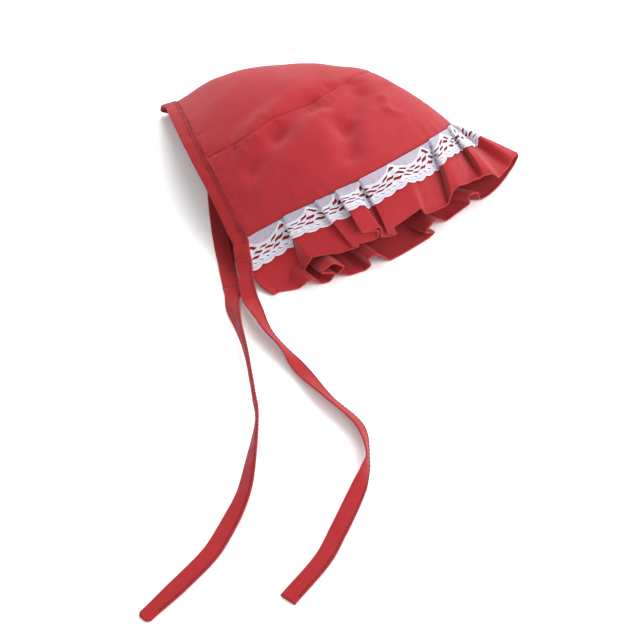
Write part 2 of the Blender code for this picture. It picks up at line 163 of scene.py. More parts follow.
# The upper corner: smooth up to here, and sunk under the binding
CORNER_CALM = (2, 14)
CORNER_SINK = 1.1
CORNER_SINK_REACH = (4.6, 9)

# The neck binding
BAND_WIDTH = 10
BAND_SLOPE = 28
BAND_LEVEL = (0.12, 0.46)
BAND_PAST_UPPER = 12
BAND_PAST_LOWER = 20
BAND_UPPER_WAY = (0.19, -0.85, -0.48)
BAND_END_LIFT = 1.5
BAND_END_LIFT_OVER = (-7, 5)
BAND_STEPS = 320
BAND_OVER = 1
CORNER_OVER = 0.9
CORNER_OVER_LONG = 5
BAND_FLAT = (2, 9)
BAND_PROUD = 0.35
BAND_CLEAR = 0.25
SIDE_WAVE = (0.18, 11)

# Waves on a strip's faces: height, lengths along and across, slant, and seed
BAND_WAVE = (0.22, 6, 7, 1 / 30, 60)
TIE_RIGHT_WAVE = (0.16, 7, 6, 0, 70)
TIE_LEFT_WAVE = (0.16, 7, 6, 0, 69)

# The ruffle
SET_COLUMNS = ("at", "forward", "spread", "edge_high", "bulge", "swing", "sag")
RUFFLE_SET = (
    (0, 33, -4, 3.5, 0, -4.7, 3.5),
    (12, 29, -3.5, 4.5, 0, -3.5, 2.5),
    (30, 23, -3, 14, 1.5, -1, 0.5),
    (55, 22.5, -2, 19, 3, 0, 0),
    (80, 22, 0, 20, 3, 0, 0),
    (104, 23, 6, 22, 3, 0, 0),
    (138, 26, 6, 22, 2.5, 0, 0),
    (162, 37, 11, 19, 1.5, 0, 0),
    (178, 35, 28, 10, 1, 0, 0),
    (188, 36.5, 28, 4, 0, 0, 0),
    (198, 36.5, 28, 0.5, 0, 0, 0),
    (222, 36.5, 25, 0, 0, 0, 0),
    (236, 35, 19.5, 0, 0, 0, 0),
    (247, 36, 15.3, 0, 0, 0, 0),
    (262, 42, 10.2, 0, 0, 0, 0),
    (290, 46.3, 3, 0, 0, 0, 0),
    (308, 44, 0.9, 0, 0, 0, 0),
    (325, 41, 0, 0, 0, 0, 0),
    (346, 33, 1, 0, 0, 0, 0),
)
SEAM_LIFT = 1.7
CORNER_ROUND = 8

# Folds of the free edge: places along it, each with its rise over the plain edge. The
# cloth turns back at under, below the fold's crisp left edge at start. end is the other
# side of the crest and foot, if any, the low place after it. The fold begins at root on
# the seam, and tuck is how far the cloth goes in under its edge.
FOLD_COLUMNS = (
    "under", "under_rise", "start", "start_rise", "end", "end_rise", "root", "tuck", "foot",
    "foot_rise",
)
FOLDS = (
    (23, -10, 33.5, 1.5, 52, -4.5, 27, 5),
    (64, -4, 57, -0.8, 75.5, -3.5, 48, 2.5),
    (75.5, 3.5, 63, 8, 77.5, 6, 61, 2.5, 78, -4),
    (88, -7.5, 80, -1, 101.5, 3.5, 77, 2.5, 104.5, -5.5),
    (122, -8.5, 124.5, -1, 130.5, 2.2, 133, 4, 141, -2.5),
    (150, -3, 153, -1.5, 160, -2, 158, 4.5, 165, -8.5),
    (174.5, -7, 176, -3, 183, -2, 172, 2),
    (236, 1.5, 238, 10.5, 243.5, 12, 239, 2, 241.5, 3.5),
    (256.5, 1, 262, 9, 266, 12, 260, 1),
    (271.5, 8, 263.5, 1, 268, 0.2, 266, 1),
    (293, 0.2, 300.5, 11, 306, 11, 300, 2, 304, 3),
    (308, 0.2, 312, 0, 316, 0.2, 312, 0),
    (324.3, 5.2, 319.3, 9.5, 326, 16, 321, 1),
    (333.5, 11, 324.4, 7, 328, 0.2, 326, 1),
    (334, 1, 336, 5.5, 340, 7, 340, 1, 346, 1),
)
FOLD_ROUND = 2.3
FOLD_BEND_STEPS = 8
FOLD_SPREAD = 0.9
TUCK_REACH = 9
TUCK_UNDER = 3.4
TUCK_OVER = 1.4
TUCK_SHIFTS = (0.8, 0.2)
TUCK_CURVE = 0.6
RUFFLE_COLUMNS = 780
RUFFLE_ROWS = 34
RUFFLE_UNDER = 0.9
RUFFLE_CLEAR = 0.6
RUFFLE_START_RISE = -1.5
HEM_RADIUS = 0.62
HEM_CLEAR = 0.75

# Where along the seam the ruffle passes from the upper side to the floor side
TUCKED_UP_FROM = (0.53, 0.6)
INWARD = (-0.3, 0.2, -1)
FACES_UP_FROM = (0.42, 0.56)
PUFFS_UP_TO = (0.4, 0.55)
RUFFLE_GATHER = (1.1, 3.6, 2.2)
RUFFLE_WAVE = (0.7, 11)

# The lace: its depth as a share of the ruffle's, its place over it and its grid
LACE_DEPTH = 0.47
LACE_PAST = 1.1
LACE_OVER = 0.45
LACE_WIDE = 19
LACE_CELL = 0.52
LACE_STEPS = 1400
LACE_LEVELS = 30

# The lace's pattern down from its sewn edge: half moons of plain net, rows of leaf
# openings between them and a closer band with a scalloped edge. A row of LEAVES has its
# place between them, its shift along, and its leaves' length, width and tilt.
MOON_TOP = 1.2
MOON_DEEP = 6.6
MOON_PITCH = 27
MOON_CURVE = 0.8
LEAF_LOW = 14.2
LEAF_PITCH = 7.2
LEAF_BEND = 0.45
LEAF_POINT = 0.35
LEAF_UNEVEN = (0.9, 16, 0.3)
LEAF_NOISE = 0.37
LEAF_FIRST = 0.7
LEAF_LAST = 0.8
LEAVES = ((0.14, 0, 6.8, 0.7, -13), (0.46, 0.5, 7.2, 0.76, -4), (0.78, 0.1, 6.8, 0.7, -10))
LEAF_HALF_WIDE = (0.5, 1.3)
SLOT_DOWN = 15
SLOT_LONG = 4.4
SLOT_WIDE = 0.9
SCALLOP_PITCH = 8.7
SCALLOP_DEEP = 1.7
SCALLOP_CURVE = 0.7
LEAF_CORD = 0.21
LONG_CORD = 0.26
CORD_STEP = 0.5
CORD_INSET = 0.1
MOON_CORD_GAP = 0.8
MOON_FADE = (-0.3, 0.5)
EDGE_DENSE = (-1.1, -0.5)
EDGE_BAND_THIN = 0.4

# Ties: x and y of the middle line, the height of its lowest edge, and its roll in degrees
TIE_WIDTH = 9.6
TIE_STEPS = 260
TIE_PATH_STEPS = 24
TIE_START = 0.15
TIE_STRAIGHT = 5
TIE_TURN_IN = 9
TIE_BLEND = 12
TIE_TAPER = (0, 0.16)
TIE_TAPER_FROM = (2, 26)
TIE_ROUND_END = (1.2, 3)
TIE_RIGHT = (
    (-57, -65, 8, 28),
    (-56, -69, 7, 27),
    (-52.2, -84.9, 5.5, 12),
    (-45.6, -101.5, 4, -30),
    (-39, -114, 1.2, -48),
    (-30, -126, 0.4, -50),
    (-20.4, -139.6, 0.4, -18),
    (-5.2, -160.2, 0.4, -46),
    (11.9, -179.6, 0.4, -48),
    (16.4, -201.2, 0.4, -80),
    (14.6, -212.5, 0.4, -62),
    (9.8, -224.8, 0.4, -32),
    (-0.7, -248.2, 0.4, -6),
    (-9.2, -265.4, 0.4, 0),
    (-26.6, -288.7, 0.4, 0),
)
TIE_LEFT = (
    (-63, -77.5, 0.4, 0),
    (-62.5, -82.5, 0.4, 5),
    (-61, -94, 0.4, 34),
    (-57.2, -111.6, 0.4, 72),
    (-52.4, -131.6, 0.4, 84),
    (-47.7, -160.2, 0.4, 84),
    (-45.6, -177.6, 0.4, 80),
    (-48.6, -208.5, 0.4, 44),
    (-51.4, -224.8, 0.4, 28),
    (-57.3, -240.7, 0.4, 8),
    (-66.6, -259.9, 0.4, 0),
    (-79.3, -276.2, 0.4, 0),
    (-99.9, -299.7, 0.4, 0),
)

# Sewing
STITCH_LONG = 2.1
STITCH_PITCH = 2.7
STITCH_THICK = 0.5
STITCH_POINTS = 6
STITCH_ARCH = 0.16
STITCH_SUNK = 0.12
STITCH_END = 3
BAND_STITCH_INSETS = (1.5, 3.2)
BAND_STITCH_OVER = 0.03
BAND_STITCH_CLEAR = 0.3
TIE_STITCH_INSET = 1.2

# Looks: the weave's pitch, what lightens or darkens the cotton (the weave's part is painted shade
# in the gaps between threads), and its slubs
THREAD_PITCH = 0.42
PAINTED_WEAVE_SHADE = 0.26
SLUB_SHADE = 0.42
MOTTLE_SHADE = 0.36
DARKER = -0.18
SLUB_STRETCHES = ((0.09, 2.2, 1), (2.2, 0.09, 1))


def column(table, names, name, at):
    """A column of a table at any place in its first column, smooth and without overshoot."""
    rows = np.array(sorted(table), float)
    xs = rows[:, 0]
    ys = rows[:, names.index(name)]
    step = np.diff(xs)
    slope = np.diff(ys) / step
    tangent = np.zeros(len(xs))
    same = slope[:-1] * slope[1:] > 0
    mean = 2 * slope[:-1] * slope[1:] / np.where(same, slope[:-1] + slope[1:], 1)
    tangent[1:-1] = np.where(same, mean, 0)
    tangent[0] = slope[0]
    tangent[-1] = slope[-1]
    at = np.clip(np.asarray(at, float), xs[0], xs[-1])
    i = np.clip(np.searchsorted(xs, at) - 1, 0, len(xs) - 2)
    s = (at - xs[i]) / step[i]
    rise = (3 - 2 * s) * s * s
    bend = step[i] * s * (1 - s) * (tangent[i] * (1 - s) - tangent[i + 1] * s)
    return ys[i] * (1 - rise) + ys[i + 1] * rise + bend


def size(vectors):
    return np.linalg.norm(vectors, axis=-1)


def unit(vectors):
    return vectors / np.maximum(size(vectors), 1e-9)[..., None]


def heading_of(line):
    return unit(np.gradient(line, axis=0))


def ramp(low, high, at):
    s = np.clip((at - low) / (high - low), 0, 1)
    return s * s * (3 - 2 * s)


def marks_of(points):
    return np.concatenate([[0], np.cumsum(size(np.diff(points, axis=0)))])


def points_at(points, marks, at):
    return np.stack([np.interp(at, marks, points[:, k]) for k in range(points.shape[1])], axis=-1)


def outward(turn):
    return np.array([cos(radians(turn)), sin(radians(turn))])


def forward(turn):
    return np.array([sin(radians(turn)), -cos(radians(turn))])


def ripple(xs, ys, seed):
    """Smooth noise from -1 to 1, the same each run."""
    xs, ys = np.broadcast_arrays(xs, ys)
    flat = [noise.noise(Vector((x, y, seed))) for x, y in zip(xs.flat, ys.flat)]
    return np.array(flat).reshape(xs.shape)


def grid_normals(grid):
    """Unit normals of a grid: its first direction crossed with its second."""
    return unit(np.cross(np.gradient(grid, axis=0), np.gradient(grid, axis=1)))


def crease_depth(places, creases):
    """How far the creases press the upper side down at these places."""
    depth = np.zeros(len(places))
    for turn_a, out_a, turn_b, out_b, deep, wide in creases:
        a = CORNER + out_a * outward(turn_a)
        run = CORNER + out_b * outward(turn_b) - a
        share = np.clip((places[:, :2] - a) @ run / (run @ run), 0, 1)
        away = size(places[:, :2] - a - share[:, None] * run)
        depth += deep * np.exp(-((away / wide) ** 2))
    return depth * ramp(*CREASES_ABOVE, places[:, 2])


@functools.cache
def section(turn):
    """A crown section from the upper corner over the crest and the far fold to the lower
    corner: its points and their distances along it."""
    row = [float(column(CROWN, CROWN_COLUMNS, name, turn)) for name in CROWN_COLUMNS[1:]]
    reach, crest, crest_at, high, lean, bow, nook, heel = row
    crest_out = reach * crest_at
    at_neck = float(ramp(NECK_FULLNESS_FROM, NECK_TURN, turn))
    full = DOME_FULLNESS + (NECK_FULLNESS - DOME_FULLNESS) * at_neck
    share = np.linspace(0, 1, SECTION_STEPS)
    angle = share[1:] * pi / 2
    parts = (
        (
            CORNER_REACH + (crest_out - CORNER_REACH) * share,
            CORNER_HIGH + (crest - CORNER_HIGH) * np.sin(share * pi / 2),
        ),
        (
            crest_out + (reach - crest_out) * np.sin(angle) ** full,
            high + (crest - high) * np.clip(np.cos(angle), 0, 1) ** full,
        ),
        (reach - high * (1 - np.cos(angle)), high * (1 - np.sin(angle))),
        (reach - high + (CORNER_REACH - reach + high) * share[1:], 0 * angle),
    )
    out, up = (np.concatenate(values) for values in zip(*parts))
    upper = np.arange(len(out)) < 2 * SECTION_STEPS
    heel *= np.clip(1 - out / (HEEL_LONG * reach), 0, 1) ** 2
    bow *= np.sin(pi * np.clip(out / reach, 0, 1) ** BOW_CURVE)
    nook_over = nook * (1 - ramp(0, NOOK_LONG * reach, out))
    nook_under = NOOK_UNDER * nook * np.clip(1 - up / high, 0, 1)
    nook_under *= ramp(NOOK_UNDER_FROM, 1, out / reach)
    over_corner = np.clip((up - CORNER_HIGH) / (crest - CORNER_HIGH), 0, 1)
    shift = np.where(upper, nook_over, (bow - heel) * (up < high) + nook_under)
    shift = lean * over_corner**LEAN_CURVE + shift
    flat = CORNER + out[:, None] * outward(turn) + shift[:, None] * forward(turn)
    places = np.concatenate([flat, up[:, None]], axis=1)
    places[:, 2] -= crease_depth(places, CREASES)
    return places, marks_of(places)


def on_crown(turn, at):
    places, marks = section(turn)
    return points_at(places, marks, at)


def section_end(turn):
    return section(turn)[1][-1]


def right_seam(turn):
    table = BACK_SEAMS if turn >= TIP_TURN else TOP_SEAM
    return float(column(table, SEAM_COLUMNS, "right", turn))


def left_seam(turn):
    if turn < TIP_TURN:
        return right_seam(turn)
    place = section_end(turn) - float(column(BACK_SEAMS, SEAM_COLUMNS, "left", turn))
    miss = right_seam(TIP_TURN) - section_end(TIP_TURN) + BACK_SEAMS[-1][2]
    return place + miss * (1 - ramp(TIP_TURN, TIP_TURN + TIP_JOIN, turn))


def seam_slant(seam, turn):
    """The sine of the angle at which a section crosses a seam."""
    a, b = (
        on_crown(beside, seam(beside))
        for beside in (max(turn - 0.4, FRONT_TURN), min(turn + 0.4, NECK_TURN))
    )
    along = on_crown(turn, seam(turn) + 1) - on_crown(turn, seam(turn) - 1)
    cosine = abs(unit(b - a) @ unit(along))
    return max(sqrt(1 - cosine * cosine), 0.1)


def rounded_path(points, steps):
    """A smooth line through the points, with this many steps between each two."""
    padded = np.concatenate([[2 * points[0] - points[1]], points, [2 * points[-1] - points[-2]]])
    share = (np.arange(steps) / steps)[:, None]
    s2 = share * share
    s3 = s2 * share
    out = []
    for before, a, b, after in zip(padded, padded[1:], padded[2:], padded[3:]):
        bend = (s3 - 2 * s2 + share) * 0.5 * (b - before) + (s3 - s2) * 0.5 * (after - a)
        out.append((2 * s3 - 3 * s2 + 1) * a + (3 * s2 - 2 * s3) * b + bend)
    return np.concatenate([*out, points[-1:]])


def new_piece(name, points, faces, look, uv=None):
    """A mesh piece in metres that rides on the part, with a weave map in millimetres."""
    mesh = bpy.data.meshes.new(name)
    mesh.from_pydata(((points.reshape(-1, 3) - MIDDLE) * MM).tolist(), [], faces)
    if uv is not None:
        layer = mesh.uv_layers.new(name="weave")
        corner = np.zeros(len(mesh.loops), np.int32)
        mesh.loops.foreach_get("vertex_index", corner)
        layer.data.foreach_set("uv", uv.reshape(-1, 2)[corner].astype(np.float32).ravel())
    mesh.materials.append(look.material)
    mesh.shade_smooth()
    piece = bpy.data.objects.new(name, mesh)
    bpy.context.scene.collection.objects.link(piece)
    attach(piece, "root")
    return piece


def grid_faces(columns, rows, keep=None):
    """Faces between grid points, wound along the first direction then the second."""
    i, j = np.meshgrid(np.arange(columns - 1), np.arange(rows - 1), indexing="ij")
    a = (i * rows + j).ravel()
    b = a + rows
    quads = np.stack([a, b, b + 1, a + 1], axis=1)
    if keep is not None:
        quads = quads[keep.ravel()]
    return quads.tolist()


def ring_faces(base, count, around, closed=False):
    """Faces between rings of points, with a cap at each end unless the rings close up."""
    i, j = np.meshgrid(np.arange(count if closed else count - 1), np.arange(around), indexing="ij")
    a = base + i * around
    b = base + (i + 1) % count * around
    after = (j + 1) % around
    faces = np.stack([a + j, a + after, b + after, b + j], axis=-1).reshape(-1, 4).tolist()
    if not closed:
        last = base + (count - 1) * around
        faces += [list(range(base, base + around))[::-1], list(range(last, last + around))]
    return faces


def cloth(name, grid, wall, look, uv, keep=None):
    """A grid of outer points made into a sheet of cloth with its wall on the inner side."""
    piece = new_piece(name, grid, grid_faces(*grid.shape[:2], keep), look, uv)
    thick = piece.modifiers.new("wall", "SOLIDIFY")
    thick.thickness = wall * MM
    thick.offset = -1
    return piece


def ribbon(name, middle, side, outline, look, runs):
    """A closed strip along a middle line. outline holds its section's across and square
    distances, and runs the distance along it for the weave map."""
    square = unit(np.cross(heading_of(middle), side))
    points = middle[:, None] + side[:, None] * outline[..., :1] + square[:, None] * outline[..., 1:]
    uv = np.stack(np.broadcast_arrays(runs[:, None], outline[..., 0]), axis=-1)
    return new_piece(name, points, ring_faces(0, *outline.shape[:2]), look, uv)


def strip_outline(count, wide, thick, around=22):
    """Sections of a flat folded strip with rounded edges."""
    angle = np.arange(around * 2) / (around * 2) * 2 * pi
    across = np.sign(np.cos(angle)) * np.abs(np.cos(angle)) ** 0.45
    square = np.sign(np.sin(angle)) * np.abs(np.sin(angle)) ** 0.55
    outline = np.stack([0.5 * wide * across, 0.5 * thick * square], axis=-1)
    return np.broadcast_to(outline, (count, *outline.shape)).copy()


def add_waves(outline, runs, wave):
    """Soft waves on both faces of a strip."""
    high, long, wide, slant, seed = wave
    waves = ripple(runs[:, None] / long, outline[..., 0] / wide + slant * runs[:, None], seed)
    outline[..., 1] += high * waves * np.sign(outline[..., 1])


def tubes(name, lines, radius, look, sides=6, closed=False):
    """Threads of one thickness along many lines, as one piece."""
    points = []
    faces = []
    base = 0
    turns = (np.arange(sides) / sides * 2 * pi)[:, None]
    for line, normals in lines:
        heading = heading_of(line)
        side = unit(np.cross(heading, normals))
        lift = np.cross(side, heading)
        ring = radius * np.cos(turns) * side[:, None] + radius * np.sin(turns) * lift[:, None]
        points.append((line[:, None] + ring).reshape(-1, 3))
        faces += ring_faces(base, len(line), sides, closed)
        base += len(line) * sides
    return new_piece(name, np.concatenate(points), faces, look)


def stitch_lines(line, normals, first, last):
    """Short raised threads in a row along a line, between two distances along it."""
    marks = marks_of(line)
    share = np.linspace(0, 1, STITCH_POINTS)
    lift = (STITCH_ARCH * np.sin(pi * share) - STITCH_SUNK)[:, None]
    out = []
    at = first
    while at + STITCH_LONG < last:
        spots = at + share * STITCH_LONG
        outs = unit(points_at(normals, marks, spots))
        out.append((points_at(line, marks, spots) + lift * outs, outs))
        at += STITCH_PITCH
    return out


def nearest_on_line(grid, line):
    """The distance of each grid point to a line of points, and the place along it."""
    marks = marks_of(line)
    away = np.empty(grid.shape[:2])
    at = np.empty(grid.shape[:2])
    for i, row in enumerate(grid):
        gaps = size(row[:, None] - line[None])
        nearest = gaps.argmin(axis=1)
        away[i] = gaps[np.arange(len(row)), nearest]
        at[i] = marks[nearest]
    return away, at


def edge_ripple(wave, at, away, seed):
    """Ripples beside an edge, which fade away from it."""
    high, long, wide, fade = wave
    return high * ripple(at / long, away / wide, seed) * np.exp(-away / fade)


def panel_grid(turns, start_of, end_of, seed, seams):
    """Points and weave map of a crown panel. start_of and end_of give its two ends on a
    section, and seams lists those that are sewn: 0 for the start, -1 for the end."""
    steps = np.linspace(0, 1, PANEL_STEPS + 1)
    share = steps - EDGE_CROWDING * np.sin(2 * pi * steps) / pi
    ats = []
    for turn in turns:
        start = start_of(turn)
        ats.append(start + max(end_of(turn) - start, NARROWEST) * share)
    ats = np.array(ats)
    grid = np.array([on_crown(turn, at) for turn, at in zip(turns, ats)])
    normals = grid_normals(grid)
    from_neck = size(grid - grid[:1])
    from_front = size(grid - grid[-1:])
    from_corner = size(grid[..., :2] - CORNER)
    push = np.zeros(grid.shape[:2])
    calm = np.ones(grid.shape[:2])
    tip = on_crown(TIP_TURN, right_seam(TIP_TURN))
    far = ramp(*PUCKER_FROM_TIP, size(grid - tip))
    for edge in seams:
        away, at = nearest_on_line(grid, grid[:, edge])
        in_seam = np.exp(-((away / SEAM_DIP_WIDE) ** 2))
        push += far * edge_ripple(PUCKER, at, away, seed - 3 * edge) * (1 - in_seam)
        push -= SEAM_DIP * in_seam
        calm = np.minimum(calm, 1 - np.exp(-((away / SEAM_CALM) ** 2)))
    push += edge_ripple(NECK_GATHER, ats, from_neck, seed + 5)
    if turns[-1] <= FRONT_TURN + 0.01:
        push += edge_ripple(FRONT_GATHER, ats, from_front, seed + 7)
        push -= FRONT_DIP * np.exp(-((from_front / FRONT_DIP_WIDE) ** 2))
    calm *= ramp(*WAVES_ABOVE, grid[..., 2])
    for (high, long), number in ((BROAD_WAVE, seed + 9), (FINE_WAVE, seed + 11)):
        push += high * ripple(grid[..., 0] / long, grid[..., 1] / long, number) * calm
    push -= crease_depth(grid.reshape(-1, 3), FINE_CREASES).reshape(push.shape)
    push *= ramp(*CORNER_CALM, from_corner)
    grid += push[..., None] * normals
    grid[..., 2] -= CORNER_SINK * (1 - ramp(*CORNER_SINK_REACH, from_corner))
    grid[..., 2] = np.maximum(grid[..., 2], 0)
    polar = np.radians(turns)[:, None]
    total = np.array([section_end(turn) for turn in turns])[:, None]
    out = np.minimum(ats, total - ats)
    return grid, np.stack([out * np.cos(polar), out * np.sin(polar)], axis=-1)


def seam_edges(name, seam, turns, depth, look):
    """The panels' edges, pressed flat behind a seam, as a narrow strip."""
    middle = []
    square = []
    for turn in turns:
        at = seam(turn)
        share = at / section_end(turn)
        before, after = (
            on_crown(beside, share * section_end(beside))
            for beside in (min(turn + 0.5, NECK_TURN), max(turn - 0.5, FRONT_TURN))
        )
        along = on_crown(turn, at + 1) - on_crown(turn, at - 1)
        square.append(unit(np.cross(after - before, along)))
        middle.append(on_crown(turn, at) - depth * square[-1])
    middle = np.array(middle)
    side = unit(np.cross(np.array(square), heading_of(middle)))
    outline = strip_outline(len(middle), SEAM_EDGE_WIDE, SEAM_EDGE_THICK, 4)
    return ribbon(name, middle, side, outline, look, marks_of(middle))


def crown_panels(look):
    """The two side panels and the back panel between them."""
    turns = np.linspace(NECK_TURN, FRONT_TURN, PANEL_STEPS + 1)
    close = TIP_TURN + np.linspace(*TIP_CLOSE)
    turns = np.unique(np.round(np.concatenate([turns, close]), 4))[::-1]

    def beside(seam, way):
        return lambda turn: seam(turn) + way * 0.5 * SEAM_GAP / seam_slant(seam, turn)

    grid, uv = panel_grid(turns, lambda turn: 0, beside(right_seam, -1), 1, [-1])
    right = cloth("crown_side_right", grid, PANEL_CLOTH, look, uv)
    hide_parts("side_panel_right")

    grid, uv = panel_grid(turns, beside(left_seam, 1), section_end, 20, [0])
    left = cloth("crown_side_left", grid, PANEL_CLOTH, look, uv)
    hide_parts("side_panel_left")

    ends = (beside(right_seam, 1), beside(left_seam, -1))
    grid, uv = panel_grid(turns[turns >= TIP_TURN + TIP_BLUNT], *ends, 40, [0, -1])
    back = cloth("crown_back", grid, PANEL_CLOTH, look, uv)
    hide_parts("back_panel")
    behind = turns[turns >= TIP_TURN]
    seams = (
        ("seam_edges_right", right_seam, behind),
        ("seam_edges_left", left_seam, behind),
        ("seam_edges_top", right_seam, turns[turns <= TIP_TURN + 0.05]),
    )
    edges = [seam_edges(*seam, deep, look) for seam, deep in zip(seams, SEAM_EDGE_DEPTHS)]


def band_middle():
    """The band's middle line beside the neck edge, and the way across it."""
    places, marks = section(NECK_TURN)
    total = marks[-1]
    at = np.linspace(-BAND_PAST_UPPER, total + BAND_PAST_LOWER, BAND_STEPS + 1)
    inner = on_crown(NECK_TURN, np.clip(at, 0, total))
    inner += np.outer(np.clip(-at, 0, None), unit(np.array(BAND_UPPER_WAY)))
    inner += np.outer(np.clip(at - total, 0, None), unit(places[-1] - places[-16]))
    away = -forward(NECK_TURN)
    slope = np.radians(BAND_SLOPE) * (1 - ramp(*BAND_LEVEL, at / total))
    across = np.stack([away[0] * np.cos(slope), away[1] * np.cos(slope), -np.sin(slope)], -1)
    over = BAND_OVER + CORNER_OVER * np.exp(-((at / CORNER_OVER_LONG) ** 2))
    inner -= over[:, None] * across
    inner[:, 2] += BAND_END_LIFT * (1 - ramp(*BAND_END_LIFT_OVER, at))
    middle = inner + 0.5 * BAND_WIDTH * across
    heading = heading_of(middle)
    across = unit(across - (across * heading).sum(1)[:, None] * heading)
    across[:, 2] *= ramp(*BAND_FLAT, middle[:, 2])
    return middle, unit(across)


def neck_band(look, thread):
    """The folded binding along the neck edge, with two lines of stitches."""
    middle, across = band_middle()
    runs = marks_of(middle)
    normal = unit(np.cross(heading_of(middle), across))
    normal *= np.sign(normal[len(normal) // 4] @ UP)
    middle += (BAND_PROUD - 0.5 * BAND_THICK) * normal
    middle[:, 2] = np.maximum(middle[:, 2], 0.5 * BAND_THICK + BAND_CLEAR)
    outline = strip_outline(len(middle), BAND_WIDTH, BAND_THICK)
    add_waves(outline, runs, BAND_WAVE)
    high, long = SIDE_WAVE
    outline[..., 0] += high * ripple(runs[:, None] / long, 0, 61)
    piece = ribbon("neck_binding", middle, across, outline, look, runs)
    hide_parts("neck_band")
    lines = []
    for inset in BAND_STITCH_INSETS:
        line = middle + (0.5 * BAND_THICK + BAND_STITCH_OVER) * normal
        line -= (0.5 * BAND_WIDTH - inset) * across
        line[:, 2] = np.maximum(line[:, 2], BAND_STITCH_CLEAR)
        lines += stitch_lines(line, normal, BAND_PAST_UPPER - STITCH_END, runs[-1] - STITCH_END)
    tubes("neck_stitches", lines, STITCH_THICK / 2, thread)


def tie(name, replaced, table, end, waves, look, thread):
    """A flat tie from one end of the binding along its route, rolled as the table says."""
    rows = np.array(table, float)
    middle, across = band_middle()
    past = unit(middle[end] - middle[-5 if end else 4])
    rows[0, :2] = middle[end][:2]
    rows[1, :2] = middle[end][:2] + TIE_STRAIGHT * past[:2]
    if end == 0:
        edge = middle[end] + 0.5 * BAND_WIDTH * across[end]
        rows[0, 2] = edge[2] + BAND_PROUD - TIE_THICK
        rows[1, 2] = rows[0, 2] + TIE_STRAIGHT * past[2]
    smooth = rounded_path(rows, TIE_PATH_STEPS)
    marks = marks_of(smooth[:, :3])
    at = np.linspace(TIE_START, marks[-1], TIE_STEPS + 1)
    x, y, high, roll = points_at(smooth, marks, at).T
    roll = np.radians(roll)
    top = np.stack([x, y, high + 0.5 * TIE_WIDTH * np.abs(np.sin(roll)) + TIE_THICK], -1)
    heading = heading_of(top)
    level = unit(np.cross(UP, heading))
    side = level * np.cos(roll)[:, None] + np.cross(heading, level) * np.sin(roll)[:, None]
    start_side = across[end] * np.sign(across[end] @ side[0])
    blend = ramp(0, TIE_TURN_IN, at)[:, None]
    side = unit(start_side * (1 - blend) + side * blend)
    side = unit(side - (side * heading).sum(1)[:, None] * heading)
    normal = unit(np.cross(heading, side))
    centre = top - 0.5 * TIE_THICK * normal * np.sign(normal[:, 2:] + 1e-6)
    runs = marks_of(centre)
    outline = strip_outline(len(centre), TIE_WIDTH, TIE_THICK)
    near_band = 1 - ramp(0, TIE_BLEND, runs)[:, None]
    outline[..., 0] *= 1 + (BAND_WIDTH / TIE_WIDTH - 1) * near_band
    outline[..., 1] *= 1 + (BAND_THICK / TIE_THICK - 1) * near_band
    left = np.clip(runs[-1] - runs, 0, None)[:, None]
    outline[..., 0] *= 1 - TIE_TAPER[end] * (1 - ramp(*TIE_TAPER_FROM, left))
    if end:
        past_end, long = TIE_ROUND_END
        outline[..., 0] *= np.sqrt(np.clip((left + past_end) / long, 0, 1))
    add_waves(outline, runs, waves)
    piece = ribbon(name, centre, side, outline, look, runs)
    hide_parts(replaced)
    inset = (outline[..., 0].max(axis=1) - TIE_STITCH_INSET)[:, None] * side
    lines = []
    for face in (normal, -normal):
        line = centre + 0.5 * TIE_THICK * face + inset
        lines += stitch_lines(line, face, 1, runs[-1] - STITCH_END)
    threads = tubes(name + "_stitches", lines, STITCH_THICK / 2, thread)


def ruffle_set(name, at):
    scale = RUFFLE_SET[-1][0] / section_end(FRONT_TURN)
    return column(RUFFLE_SET, SET_COLUMNS, name, at * scale)


def front_points(at):
    """The ruffle's seam line, tucked under the front edge of the panels."""
    total = section_end(FRONT_TURN)
    at = np.clip(at, 0, total)
    probe = np.clip(at, CORNER_ROUND, total - CORNER_ROUND)
    behind = on_crown(FRONT_TURN + 1, probe * section_end(FRONT_TURN + 1) / total)
    along = on_crown(FRONT_TURN, probe + 0.5) - on_crown(FRONT_TURN, probe - 0.5)
    inward = unit(np.cross(along, on_crown(FRONT_TURN, probe) - behind))
    inward *= np.where((inward * np.array(INWARD)).sum(1) < 0, -1, 1)[:, None]
    under = ramp(*TUCKED_UP_FROM, at / total)[:, None]
    inward = unit(inward * (1 - under) + UP * under)
    return on_crown(FRONT_TURN, at) + RUFFLE_UNDER * inward + SEAM_LIFT * under * UP


def plain_edge(at):
    """The ruffle's free edge without its folds."""
    places = front_points(at)
    places[:, :2] += ruffle_set("forward", at)[:, None] * forward(FRONT_TURN)
    places[:, :2] += ruffle_set("spread", at)[:, None] * outward(FRONT_TURN)
    places[:, 2] = ruffle_set("edge_high", at)
    return places


def outer_directions(at):
    """Square to the ruffle on the upper side, and up on the floor."""
    along = unit(plain_edge(at + 1) - plain_edge(at - 1))
    down = unit(plain_edge(at) - front_points(at))
    on_floor = ramp(*FACES_UP_FROM, at / section_end(FRONT_TURN))[:, None]
    return unit(unit(np.cross(down, along)) * (1 - on_floor) + UP * on_floor)


def rounded_corners(points, radius, steps):
    """The polyline with an arc-like bend at each corner, and which corner each bend is."""
    out = [points[0]]
    bends = [0]
    for k in range(1, len(points) - 1):
        before = points[k - 1] - points[k]
        after = points[k + 1] - points[k]
        reach = min(radius, 0.48 * size(before), 0.48 * size(after))
        a = points[k] + reach * unit(before)
        b = points[k] + reach * unit(after)
        for share in np.linspace(0, 1, steps + 1):
            out.append((1 - share) ** 2 * a + 2 * share * (1 - share) * points[k] + share**2 * b)
            bends.append(k)
    out.append(points[-1])
    bends.append(len(points) - 1)
    return np.array(out), np.array(bends)


